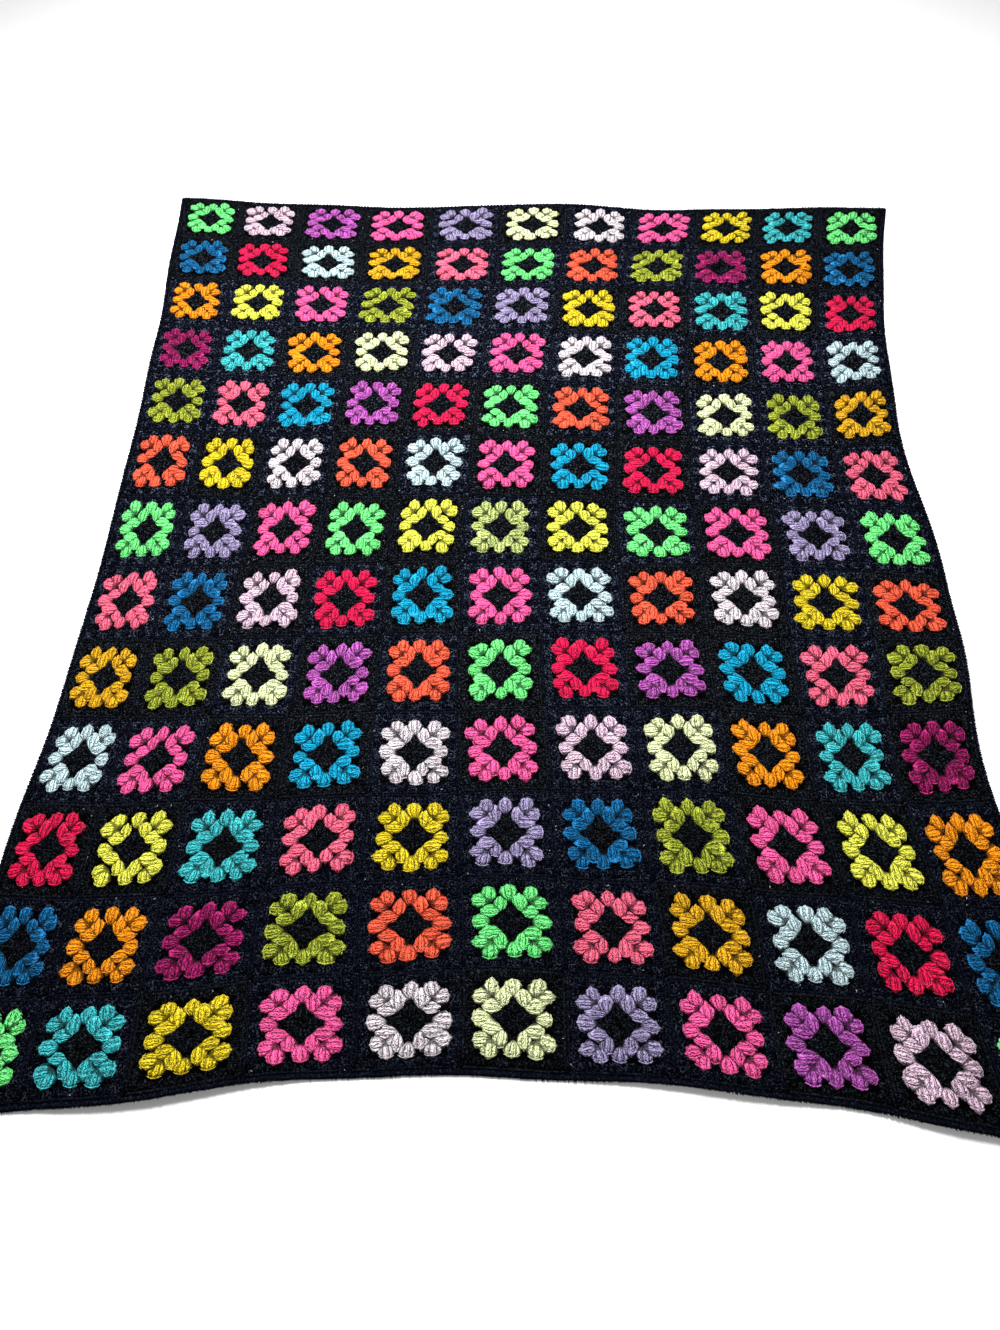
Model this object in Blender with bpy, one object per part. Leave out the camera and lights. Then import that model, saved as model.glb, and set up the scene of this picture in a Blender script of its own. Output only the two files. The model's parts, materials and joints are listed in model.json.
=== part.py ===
"""Granny square blanket, lying open on the floor.

Eleven crochet squares are joined into a row, thirteen rows are joined into the
blanket, and a narrow crocheted edging runs round it.  Each row of squares and each
side of the edging is one closed solid.  Units are metres, +Z is up, +X runs across
the blanket and +Y towards its first row.  The origin is on the floor, in the middle
of the blanket's footprint.
"""
from collections import namedtuple

import bpy
import numpy as np

# ---------------------------------------------------------------- driving dimensions
SQUARES_ACROSS = 11
ROWS = 13
SQUARE = 0.115
JOIN_GAP = 0.00035

# Thickness of a square's cloth, from its joins to its middle.
JOIN_THICKNESS = 0.0030
COLOUR_RING_THICKNESS = 0.0058
CENTRE_THICKNESS = 0.0040

# Places across one square, as a share of its side, where the cloth's height is set.
NEAR_RING = 0.19
MIDDLE = 0.50
FAR_RING = 0.81
STEPS = (0.0, NEAR_RING, MIDDLE, FAR_RING)

EDGING_RIM_THICKNESS = 0.0024
EDGING_CROWN_THICKNESS = 0.0040
EDGING_WIDTHS = {"top": 0.003, "bottom": 0.006, "left": 0.004, "right": 0.003}

MILLIMETRE = 0.001

# Handmade squares don't lie on an even grid.  Each section runs across the blanket, some
# rows down from its top edge, and gives how far in millimetres the cloth lies off the grid
# at the left edge, at the middle of every second square and at the right edge.
Section = namedtuple("Section",
                     "down left square_2 square_4 square_6 square_8 square_10 right")
SECTION_PLACES = (0.0, 1.5, 3.5, 5.5, 7.5, 9.5, 11.0)
PULLED_ACROSS = (
    Section(down=0, left=1, square_2=0, square_4=19, square_6=46,
            square_8=61, square_10=65, right=70),
    Section(down=2, left=18, square_2=11, square_4=19, square_6=30,
            square_8=31, square_10=31, right=26),
    Section(down=4.5, left=40, square_2=25, square_4=13, square_6=9,
            square_8=10, square_10=7, right=-6),
    Section(down=7, left=44, square_2=25, square_4=9, square_6=0,
            square_8=3, square_10=10, right=12),
    Section(down=9.5, left=42, square_2=18, square_4=11, square_6=11,
            square_8=15, square_10=8, right=-2),
    Section(down=11.5, left=25, square_2=3, square_4=13, square_6=28,
            square_8=33, square_10=35, right=30),
    Section(down=13, left=1, square_2=4, square_4=23, square_6=35,
            square_8=44, square_10=49, right=60),
)
PULLED_ALONG = (
    Section(down=0, left=3, square_2=-10, square_4=-19, square_6=-15,
            square_8=-20, square_10=-11, right=-7),
    Section(down=2, left=13, square_2=8, square_4=3, square_6=6,
            square_8=4, square_10=1, right=-1),
    Section(down=4.5, left=9, square_2=5, square_4=9, square_6=9,
            square_8=-1, square_10=-5, right=-1),
    Section(down=7, left=-23, square_2=-19, square_4=-9, square_6=0,
            square_8=-2, square_10=-4, right=-14),
    Section(down=9.5, left=-39, square_2=-31, square_4=-18, square_6=-6,
            square_8=2, square_10=-7, right=4),
    Section(down=11.5, left=-37, square_2=-34, square_4=-9, square_6=7,
            square_8=-2, square_10=-16, right=-29),
    Section(down=13, left=-38, square_2=-22, square_4=12, square_6=21,
            square_8=14, square_10=-13, right=-38),
)

# Where the cloth swells up off the floor: the place in squares across and rows down,
# the height in millimetres and the reach each way in squares.
Swell = namedtuple("Swell", "across down height reach_across reach_down")
SWELLS = (
    Swell(across=0.2, down=10.1, height=12, reach_across=1.7, reach_down=2.2),
    Swell(across=11.0, down=8.6, height=13, reach_across=1.6, reach_down=1.5),
    Swell(across=0.0, down=4.6, height=8, reach_across=1.4, reach_down=1.9),
    Swell(across=11.0, down=3.9, height=8, reach_across=1.3, reach_down=1.8),
    Swell(across=2.3, down=13.0, height=9, reach_across=1.6, reach_down=1.3),
    Swell(across=7.4, down=13.1, height=7, reach_across=1.5, reach_down=1.2),
    Swell(across=9.6, down=13.0, height=8, reach_across=1.1, reach_down=1.4),
    Swell(across=5.8, down=0.0, height=7, reach_across=1.9, reach_down=1.1),
)

# The joins waver a little, as hand sewing does: how far, and how quickly in radians a square.
WAVER = 0.0013
WAVER_DOWN = 2.9
WAVER_ACROSS = 3.3
WAVER_DRIFT = 0.8

YARN_COLOUR = (0.010, 0.012, 0.020, 1.0)
YARN_ROUGHNESS = 0.9


# ---------------------------------------------------------------- how the cloth lies
def smooth(knots, values, at):
    """Read a cubic curve through values at the knots, straight beyond the last ones."""
    knots = np.asarray(knots, dtype=float)
    values = np.asarray(values, dtype=float)
    slopes = np.gradient(values, knots, axis=0)
    if at <= knots[0]:
        return values[0] + (at - knots[0]) * slopes[0]
    if at >= knots[-1]:
        return values[-1] + (at - knots[-1]) * slopes[-1]
    first = int(np.searchsorted(knots, at, side="right")) - 1
    span = knots[first + 1] - knots[first]
    share = (at - knots[first]) / span
    rise = share * share * (3.0 - 2.0 * share)
    leave = share * (1.0 - share) ** 2
    arrive = share * share * (share - 1.0)
    blend = values[first] * (1.0 - rise) + values[first + 1] * rise
    return blend + span * (leave * slopes[first] + arrive * slopes[first + 1])


def pull(table, across, down):
    """Offset from the even grid in metres, at a place in squares across and rows down."""
    downs = [section.down for section in table]
    offsets = [section[1:] for section in table]
    at_line = smooth(downs, offsets, down)
    return MILLIMETRE * smooth(SECTION_PLACES, at_line, across)


def lie(across, down):
    """Place on the floor of a point of the cloth, before the blanket is centred."""
    x = (across - SQUARES_ACROSS / 2) * SQUARE + pull(PULLED_ACROSS, across, down)
    y = (ROWS / 2 - down) * SQUARE + pull(PULLED_ALONG, across, down)
    x += WAVER * np.sin(WAVER_DOWN * down + WAVER_DRIFT * across)
    y += WAVER * np.sin(WAVER_ACROSS * across + WAVER_DRIFT * down)
    return x, y


def lift(across, down):
    """Height of the cloth's underside over the floor."""
    height = 0.0
    for swell in SWELLS:
        reach = np.hypot((across - swell.across) / swell.reach_across,
                         (down - swell.down) / swell.reach_down)
        if reach < 1.0:
            height += swell.height * MILLIMETRE * (1.0 - reach * reach) ** 2
    return height


def outer_edge():
    """Places across and down along the blanket's outer edge, a quarter square apart."""
    left = -(JOIN_GAP + EDGING_WIDTHS["left"]) / SQUARE
    right = SQUARES_ACROSS + (JOIN_GAP + EDGING_WIDTHS["right"]) / SQUARE
    top = -(JOIN_GAP + EDGING_WIDTHS["top"]) / SQUARE
    bottom = ROWS + (JOIN_GAP + EDGING_WIDTHS["bottom"]) / SQUARE
    acrosses = [left] + step_places(0, SQUARES_ACROSS) + [right]
    downs = [top] + step_places(0, ROWS) + [bottom]
    edge = [(across, down) for across in acrosses for down in (top, bottom)]
    edge += [(across, down) for down in downs for across in (left, right)]
    return edge


def step_places(start, squares):
    """Places where the cloth's height is set, over a run of whole squares."""
    places = [start + square + step for square in range(squares) for step in STEPS]
    return places + [float(start + squares)]


def footprint_middle():
    """Middle of the box round the blanket's outer edge, on the floor."""
    corners = np.array([lie(across, down) for across, down in outer_edge()])
    return (corners.min(axis=0) + corners.max(axis=0)) / 2


# ---------------------------------------------------------------- solids
def square_thickness(across_step, down_step):
    """Thickness at a grid step of a square: thin joins, a raised ring, a low centre."""
    steps = (across_step % len(STEPS), down_step % len(STEPS))
    if 0 in steps:
        return JOIN_THICKNESS
    if steps == (STEPS.index(MIDDLE), STEPS.index(MIDDLE)):
        return CENTRE_THICKNESS
    return COLOUR_RING_THICKNESS


def closed_patch(name, acrosses, downs, thickness, middle, material):
    """Make one closed solid over a grid of places, with its own thickness at each."""
    columns = len(acrosses)
    lines = len(downs)
    undersides = []
    uppers = []
    for down_step, down in enumerate(downs):
        for across_step, across in enumerate(acrosses):
            x, y = np.array(lie(across, down)) - middle
            z = lift(across, down)
            undersides.append((x, y, z))
            uppers.append((x, y, z + thickness(across_step, down_step)))

    top_side = len(undersides)
    faces = []
    for line in range(lines - 1):
        for column in range(columns - 1):
            far_left = line * columns + column
            near_left = far_left + columns
            faces.append((far_left, far_left + 1, near_left + 1, near_left))
            faces.append(tuple(top_side + corner for corner in
                               (near_left, near_left + 1, far_left + 1, far_left)))
    rim = ([column for column in range(columns)]
           + [line * columns + columns - 1 for line in range(1, lines)]
           + [(lines - 1) * columns + column for column in range(columns - 2, -1, -1)]
           + [line * columns for line in range(lines - 2, 0, -1)])
    for corner, following in zip(rim, rim[1:] + rim[:1]):
        faces.append((corner, top_side + corner, top_side + following, following))

    mesh = bpy.data.meshes.new(name)
    mesh.from_pydata(undersides + uppers, [], faces)
    mesh.update()
    mesh.materials.append(material)
    solid = bpy.data.objects.new(name, mesh)
    bpy.context.collection.objects.link(solid)
    return solid


def yarn_material(name):
    """Matt dark crochet yarn."""
    material = bpy.data.materials.new(name)
    material.use_nodes = True
    shader = material.node_tree.nodes["Principled BSDF"]
    shader.inputs["Base Color"].default_value = YARN_COLOUR
    shader.inputs["Roughness"].default_value = YARN_ROUGHNESS
    shader.inputs["Metallic"].default_value = 0.0
    material.diffuse_color = YARN_COLOUR
    return material


def make_rows_of_squares(middle):
    """One solid for each row of joined squares, a join's gap from the next row."""
    material = yarn_material("square_yarn")
    half_gap = JOIN_GAP / 2 / SQUARE
    acrosses = step_places(0, SQUARES_ACROSS)
    for row in range(ROWS):
        downs = step_places(row, 1)
        downs[0] += half_gap
        downs[-1] -= half_gap
        closed_patch(f"row_of_squares_{row + 1:02d}", acrosses, downs,
                     square_thickness, middle, material)


def make_edging(middle):
    """Four sides of crocheted edging; the far and near sides run past the others."""
    material = yarn_material("edging_yarn")
    gap = JOIN_GAP / SQUARE
    reach = {side: gap + width / SQUARE for side, width in EDGING_WIDTHS.items()}

    def across_profile(inner, outer):
        return [inner, (inner + outer) / 2, outer]

    def crowned(step):
        return EDGING_CROWN_THICKNESS if step == 1 else EDGING_RIM_THICKNESS

    full_width = ([-reach["left"]] + step_places(0, SQUARES_ACROSS)
                  + [SQUARES_ACROSS + reach["right"]])
    closed_patch("edging_top", full_width, across_profile(-reach["top"], -gap),
                 lambda across_step, down_step: crowned(down_step), middle, material)
    closed_patch("edging_bottom", full_width,
                 across_profile(ROWS + gap, ROWS + reach["bottom"]),
                 lambda across_step, down_step: crowned(down_step), middle, material)
    full_length = step_places(0, ROWS)
    closed_patch("edging_left", across_profile(-reach["left"], -gap), full_length,
                 lambda across_step, down_step: crowned(across_step), middle, material)
    closed_patch("edging_right",
                 across_profile(SQUARES_ACROSS + gap, SQUARES_ACROSS + reach["right"]),
                 full_length,
                 lambda across_step, down_step: crowned(across_step), middle, material)


def main():
    """Empty the scene and build the blanket."""
    for item in list(bpy.data.objects):
        bpy.data.objects.remove(item, do_unlink=True)
    middle = footprint_middle()
    make_rows_of_squares(middle)
    make_edging(middle)


if __name__ == "__main__":
    main()
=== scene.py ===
"""Looks of the granny square blanket: yarns, clusters, joins, edging and the studio."""
import json
import logging
import math
from dataclasses import dataclass
from enum import Enum
from typing import NamedTuple, Sequence

import bpy
import numpy as np
from mathutils import Matrix, Vector

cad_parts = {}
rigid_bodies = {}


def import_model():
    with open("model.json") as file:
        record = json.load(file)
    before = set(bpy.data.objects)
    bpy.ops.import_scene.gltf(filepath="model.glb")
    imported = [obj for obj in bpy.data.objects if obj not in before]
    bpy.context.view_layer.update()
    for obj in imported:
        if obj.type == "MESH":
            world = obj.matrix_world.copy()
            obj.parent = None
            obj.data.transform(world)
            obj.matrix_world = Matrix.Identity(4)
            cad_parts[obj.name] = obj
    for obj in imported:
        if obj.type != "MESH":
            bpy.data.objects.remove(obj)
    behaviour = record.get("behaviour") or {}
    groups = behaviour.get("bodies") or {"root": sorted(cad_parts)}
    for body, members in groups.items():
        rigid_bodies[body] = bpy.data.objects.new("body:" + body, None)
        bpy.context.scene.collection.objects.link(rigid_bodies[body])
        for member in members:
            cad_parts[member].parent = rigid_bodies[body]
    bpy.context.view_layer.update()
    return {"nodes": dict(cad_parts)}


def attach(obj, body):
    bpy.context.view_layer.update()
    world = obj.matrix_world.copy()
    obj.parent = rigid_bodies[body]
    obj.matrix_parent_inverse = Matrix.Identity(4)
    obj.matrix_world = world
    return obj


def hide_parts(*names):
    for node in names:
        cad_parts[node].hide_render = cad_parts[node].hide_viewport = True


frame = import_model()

log = logging.getLogger("granny_square_blanket")

BODY = "root"
MILLIMETRE = 0.001
# Shares of a short strand's length at its two ends and its middle.
THREE_ALONG = np.array([-0.5, 0.0, 0.5])
QUARTER_TURN = math.pi / 2

Flat = tuple[float, float]
Place = tuple[float, float, float]
Colour = tuple[float, float, float, float]
Socket = bpy.types.NodeSocket
Material = bpy.types.Material
Mesh = bpy.types.Mesh
Array = np.ndarray
Value = Socket | float | str | Colour
Hand = np.random.Generator


# ------------------------------------------------------------------ how the cloth lies
class Section(NamedTuple):
    """How far in millimetres a section across the blanket lies off the even grid."""

    down: float
    left: float
    square_2: float
    square_4: float
    square_6: float
    square_8: float
    square_10: float
    right: float


class Swell(NamedTuple):
    """One low swell of the cloth: place in squares, height in millimetres, reach in squares."""

    across: float
    down: float
    height: float
    reach_across: float
    reach_down: float


# The offsets of a section stand at these places, in squares from the left edge.
SECTION_PLACES = (0.0, 1.5, 3.5, 5.5, 7.5, 9.5, 11.0)
PULLED_ACROSS = [Section(*row) for row in (
    # down, left, square 2, square 4, square 6, square 8, square 10, right
    (0, 1, 0, 19, 46, 61, 65, 70),
    (2, 18, 11, 19, 30, 31, 31, 26),
    (4.5, 40, 25, 13, 9, 10, 7, -6),
    (7, 44, 25, 9, 0, 3, 10, 12),
    (9.5, 42, 18, 11, 11, 15, 8, -2),
    (11.5, 25, 3, 13, 28, 33, 35, 30),
    (13, 1, 4, 23, 35, 44, 49, 60),
)]
PULLED_ALONG = [Section(*row) for row in (
    # down, left, square 2, square 4, square 6, square 8, square 10, right
    (0, 3, -10, -19, -15, -20, -11, -7),
    (2, 13, 8, 3, 6, 4, 1, -1),
    (4.5, 9, 5, 9, 9, -1, -5, -1),
    (7, -23, -19, -9, 0, -2, -4, -14),
    (9.5, -39, -31, -18, -6, 2, -7, 4),
    (11.5, -37, -34, -9, 7, -2, -16, -29),
    (13, -38, -22, 12, 21, 14, -13, -38),
)]
SWELLS = [Swell(*row) for row in (
    # across, down, height, reach across, reach down
    (0.2, 10.1, 12, 1.7, 2.2),
    (11.0, 8.6, 13, 1.6, 1.5),
    (0.0, 4.6, 8, 1.4, 1.9),
    (11.0, 3.9, 8, 1.3, 1.8),
    (2.3, 13.0, 9, 1.6, 1.3),
    (7.4, 13.1, 7, 1.5, 1.2),
    (9.6, 13.0, 8, 1.1, 1.4),
    (5.8, 0.0, 7, 1.9, 1.1),
)]


def curve_weights(knots: Sequence[float], at: Array) -> Array:
    """Weights of a cubic curve through values at the knots, straight beyond the last ones.

    Args:
        knots: Rising places of the known values.
        at: Places where the curve is read.

    Returns:
        One row of weights for each place read, one column for each knot.
    """
    places = np.asarray(knots, dtype=float)
    own = np.eye(len(places))
    slopes = np.gradient(own, places, axis=0)
    inside = np.clip(at, places[0], places[-1])
    first = np.clip(np.searchsorted(places, inside, side="right") - 1, 0, len(places) - 2)
    span = (places[first + 1] - places[first])[:, None]
    share = (inside - places[first])[:, None] / span
    rise = share * share * (3.0 - 2.0 * share)
    leave = share * (1.0 - share) ** 2
    arrive = share * share * (share - 1.0)
    weights = own[first] * (1.0 - rise) + own[first + 1] * rise
    weights = weights + span * (leave * slopes[first] + arrive * slopes[first + 1])
    before = np.minimum(at - places[0], 0.0)[:, None]
    beyond = np.maximum(at - places[-1], 0.0)[:, None]
    return weights + before * slopes[0] + beyond * slopes[-1]


@dataclass(frozen=True)
class Lay:
    """The blanket's even grid of squares and the uneven way in which it lies.

    Flat places are in metres on the even grid: x runs across from the blanket's left
    edge, y is minus the distance down from its top edge, and z is over the floor.
    """

    squares_across: int = 11
    rows: int = 13
    square: float = 0.115
    join_gap: float = 0.00035
    edging_top: float = 0.003
    edging_bottom: float = 0.006
    edging_left: float = 0.004
    edging_right: float = 0.003
    waver: float = 0.0013
    waver_down: float = 2.9
    waver_across: float = 3.3
    waver_drift: float = 0.8
    edge_steps: tuple[float, ...] = (0.0, 0.19, 0.50, 0.81)

    @property
    def width(self) -> float:
        """Width of the joined squares on the even grid."""
        return self.squares_across * self.square

    @property
    def length(self) -> float:
        """Length of the joined squares on the even grid."""
        return self.rows * self.square

    def off_grid(self, table: Sequence[Section], across: Array, down: Array) -> Array:
        """Offsets from the even grid in metres, at places in squares across and rows down."""
        by_section = curve_weights([section.down for section in table], down)
        by_place = curve_weights(SECTION_PLACES, across)
        offsets = np.array([section[1:] for section in table])
        return MILLIMETRE * np.sum((by_section @ offsets) * by_place, axis=1)

    def on_floor(self, across: Array, down: Array) -> Array:
        """Places on the floor, before the blanket is centred, as columns x and y."""
        x = (across - self.squares_across / 2) * self.square
        y = (self.rows / 2 - down) * self.square
        x += self.waver * np.sin(self.waver_down * down + self.waver_drift * across)
        y += self.waver * np.sin(self.waver_across * across + self.waver_drift * down)
        return np.stack([x + self.off_grid(PULLED_ACROSS, across, down),
                         y + self.off_grid(PULLED_ALONG, across, down)], axis=1)

    def lift(self, across: Array, down: Array) -> Array:
        """Height of the cloth's underside over the floor."""
        height = np.zeros(len(across))
        for swell in SWELLS:
            reach = np.hypot((across - swell.across) / swell.reach_across,
                             (down - swell.down) / swell.reach_down)
            height += swell.height * MILLIMETRE * np.maximum(1.0 - reach ** 2, 0.0) ** 2
        return height

    def middle(self) -> Array:
        """Middle of the box round the blanket's outer edge, on the floor."""
        left, top = (-(self.join_gap + edging) / self.square
                     for edging in (self.edging_left, self.edging_top))
        right = self.squares_across + (self.join_gap + self.edging_right) / self.square
        bottom = self.rows + (self.join_gap + self.edging_bottom) / self.square
        stations = [count + step for count in range(self.rows) for step in self.edge_steps]
        acrosses = [place for place in stations if place < self.squares_across]
        acrosses += [left, right, self.squares_across]
        edge = [(across, down) for across in acrosses for down in (top, bottom)]
        edge += [(across, down) for down in stations + [top, bottom, self.rows]
                 for across in (left, right)]
        corners = self.on_floor(*np.array(edge, dtype=float).T)
        return (corners.min(axis=0) + corners.max(axis=0)) / 2

    def settle(self, flat: Array) -> Array:
        """Move flat places to where the lying cloth holds them, none below the floor.

        Args:
            flat: Columns x, y and z on the even grid, in metres.

        Returns:
            Columns x, y and z in the part's own frame.
        """
        across, down = flat[:, 0] / self.square, -flat[:, 1] / self.square
        ground = self.on_floor(across, down) - self.middle()
        height = np.maximum(flat[:, 2], 0.0) + self.lift(across, down)
        return np.column_stack([ground, height])


# ------------------------------------------------------------------ shared short calls
def linear(red: int, green: int, blue: int) -> Colour:
    """Turn a display colour of 0 to 255 a channel into the shader's linear colour."""
    shares = np.array([red, green, blue]) / 255
    curved = np.where(shares <= 0.04045, shares / 12.92, ((shares + 0.055) / 1.055) ** 2.4)
    return (*curved.tolist(), 1.0)


def placed(name: str, data: bpy.types.ID) -> bpy.types.Object:
    """Make an object of a mesh, a lamp or a camera and link it to the scene."""
    item = bpy.data.objects.new(name, data)
    bpy.context.scene.collection.objects.link(item)
    return item


def mark(mesh: Mesh, name: str, values: Sequence, kind: str = "FLOAT",
         domain: str = "POINT") -> None:
    """Give a mesh an attribute of numbers or vectors."""
    layer = mesh.attributes.new(name, kind, domain)
    flat = np.ravel(values).astype(np.int32 if kind == "INT" else np.float32)
    layer.data.foreach_set("vector" if kind == "FLOAT_VECTOR" else "value", flat)


class Graph:
    """A node tree under construction."""

    def __init__(self, tree: bpy.types.NodeTree) -> None:
        """Hold the tree."""
        self.tree = tree

    def feed(self, target: Socket, value: Value) -> None:
        """Link an input to a socket or set it to a value."""
        if isinstance(value, Socket):
            self.tree.links.new(value, target)
        else:
            target.default_value = value

    def node(self, kind: str, inputs: dict[str | int, Value] | None = None,
             **settings: str) -> bpy.types.Node:
        """Add a node with its properties and its inputs, by name or number."""
        node = self.tree.nodes.new(kind)
        for name, value in settings.items():
            setattr(node, name, value)
        for key, value in (inputs or {}).items():
            self.feed(node.inputs[key], value)
        return node

    def math(self, operation: str, *values: Value) -> Socket:
        """Add a Math node and return its result."""
        return self.node("ShaderNodeMath", dict(enumerate(values)), operation=operation).outputs[0]

    def gain(self, value: Socket, factor: Value, offset: Value) -> Socket:
        """A value times a factor, plus an offset."""
        return self.math("MULTIPLY_ADD", value, factor, offset)


# ------------------------------------------------------------------ yarns and their finish
class Yarn(Enum):
    """Yarn colours of the blanket, as a maker would name the balls."""

    GREEN = (115, 242, 132)
    PALE_PINK = (220, 189, 209)
    ORCHID = (162, 76, 158)
    HOT_PINK = (253, 93, 159)
    LAVENDER = (142, 131, 168)
    PALE_YELLOW = (234, 243, 184)
    WHITE_PINK = (222, 211, 218)
    GOLD = (223, 197, 31)
    TEAL = (55, 170, 176)
    BLUE = (1, 77, 120)
    RED = (224, 18, 76)
    PALE_AQUA = (193, 220, 226)
    AMBER = (225, 167, 23)
    CORAL = (253, 105, 136)
    ORANGE_RED = (250, 95, 65)
    OLIVE = (133, 143, 40)
    LIGHT_OLIVE = (173, 188, 111)
    PLUM = (120, 13, 71)
    ORANGE = (250, 149, 12)
    YELLOW = (233, 234, 80)
    SKY = (3, 149, 188)
    NAVY = (4, 5, 10)
    BLACK = (4, 5, 7)

    @property
    def piece_name(self) -> str:
        """The yarn's name in the names of pieces."""
        return self.name.lower()


class ShaderGraph(Graph):
    """The node tree of a new material, with the patterns that the finishes share."""

    def __init__(self, name: str) -> None:
        """Make the material."""
        self.material = bpy.data.materials.new(name)
        self.material.use_nodes = True
        super().__init__(self.material.node_tree)
        places = self.node("ShaderNodeTexCoord").outputs
        self.place, self.map = places["Object"], places["UV"]

    def dress(self, inputs: dict[str, Value], height: Socket, relief: float,
              strength: float) -> Material:
        """Feed the shader, raise its normal by a height and return the material."""
        bump = self.node("ShaderNodeBump", {"Distance": relief, "Strength": strength,
                                            "Height": height})
        shader = self.tree.nodes["Principled BSDF"]
        for name, value in {**inputs, "Normal": bump.outputs["Normal"]}.items():
            self.feed(shader.inputs[name], value)
        return self.material

    def split(self, vector: Socket) -> list[Socket]:
        """The x and y of a vector."""
        return self.node("ShaderNodeSeparateXYZ", {0: vector}).outputs[:2]

    def noise(self, scale: float, detail: float) -> Socket:
        """Noise on Object coordinates, about 0 to 1."""
        return self.node("ShaderNodeTexNoise", {"Vector": self.place, "Scale": scale,
                                                "Detail": detail}).outputs["Fac"]

    def reach(self, low: float, high: float) -> Socket:
        """Value that rises from 0 to 1 between two places along the blanket."""
        return self.ramp(self.split(self.place)[1], low=low, high=high)

    def wash(self) -> Socket:
        """Painted light along the blanket: share of the dark yarn's painted highlights that shows,
        least at the blanket's two ends.
        """
        share = self.gain(self.reach(low=-0.55, high=0.0), 0.58, 0.42)
        return self.gain(self.reach(low=0.15, high=0.75), -0.50, share)

    def grain(self, near: float, far: float, detail: float) -> Socket:
        """Noise that grows coarser from the blanket's near half to its far half."""
        fine = self.noise(scale=near, detail=detail)
        change = self.math("SUBTRACT", self.noise(scale=far, detail=detail), fine)
        return self.gain(change, self.reach(low=-0.45, high=0.60), fine)

    def attribute(self, name: str) -> Socket:
        """A float attribute of the mesh."""
        return self.node("ShaderNodeAttribute", attribute_name=name).outputs["Fac"]

    def ramp(self, value: Socket, low: float, high: float) -> Socket:
        """Map a value from low to high onto 0 to 1, smoothly."""
        limits = {"Value": value, "From Min": low, "From Max": high}
        return self.node("ShaderNodeMapRange", limits,
                         interpolation_type="SMOOTHSTEP").outputs["Result"]

    def mix(self, share: Socket, first: Value, second: Value) -> Socket:
        """Mix two colours by a share."""
        return self.node("ShaderNodeMix", {0: share, 6: first, 7: second},
                         data_type="RGBA").outputs[2]

    def keep(self, share: Socket, colour: Socket, rest: float) -> Socket:
        """Keep a colour by a share and scale its brightness where the share is 0."""
        return self.mix(share, self.brighten(colour, rest), colour)

    def brighten(self, colour: Socket, value: Value) -> Socket:
        """Scale a colour's brightness."""
        return self.node("ShaderNodeHueSaturation",
                         {"Color": colour, "Value": value}).outputs["Color"]


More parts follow.
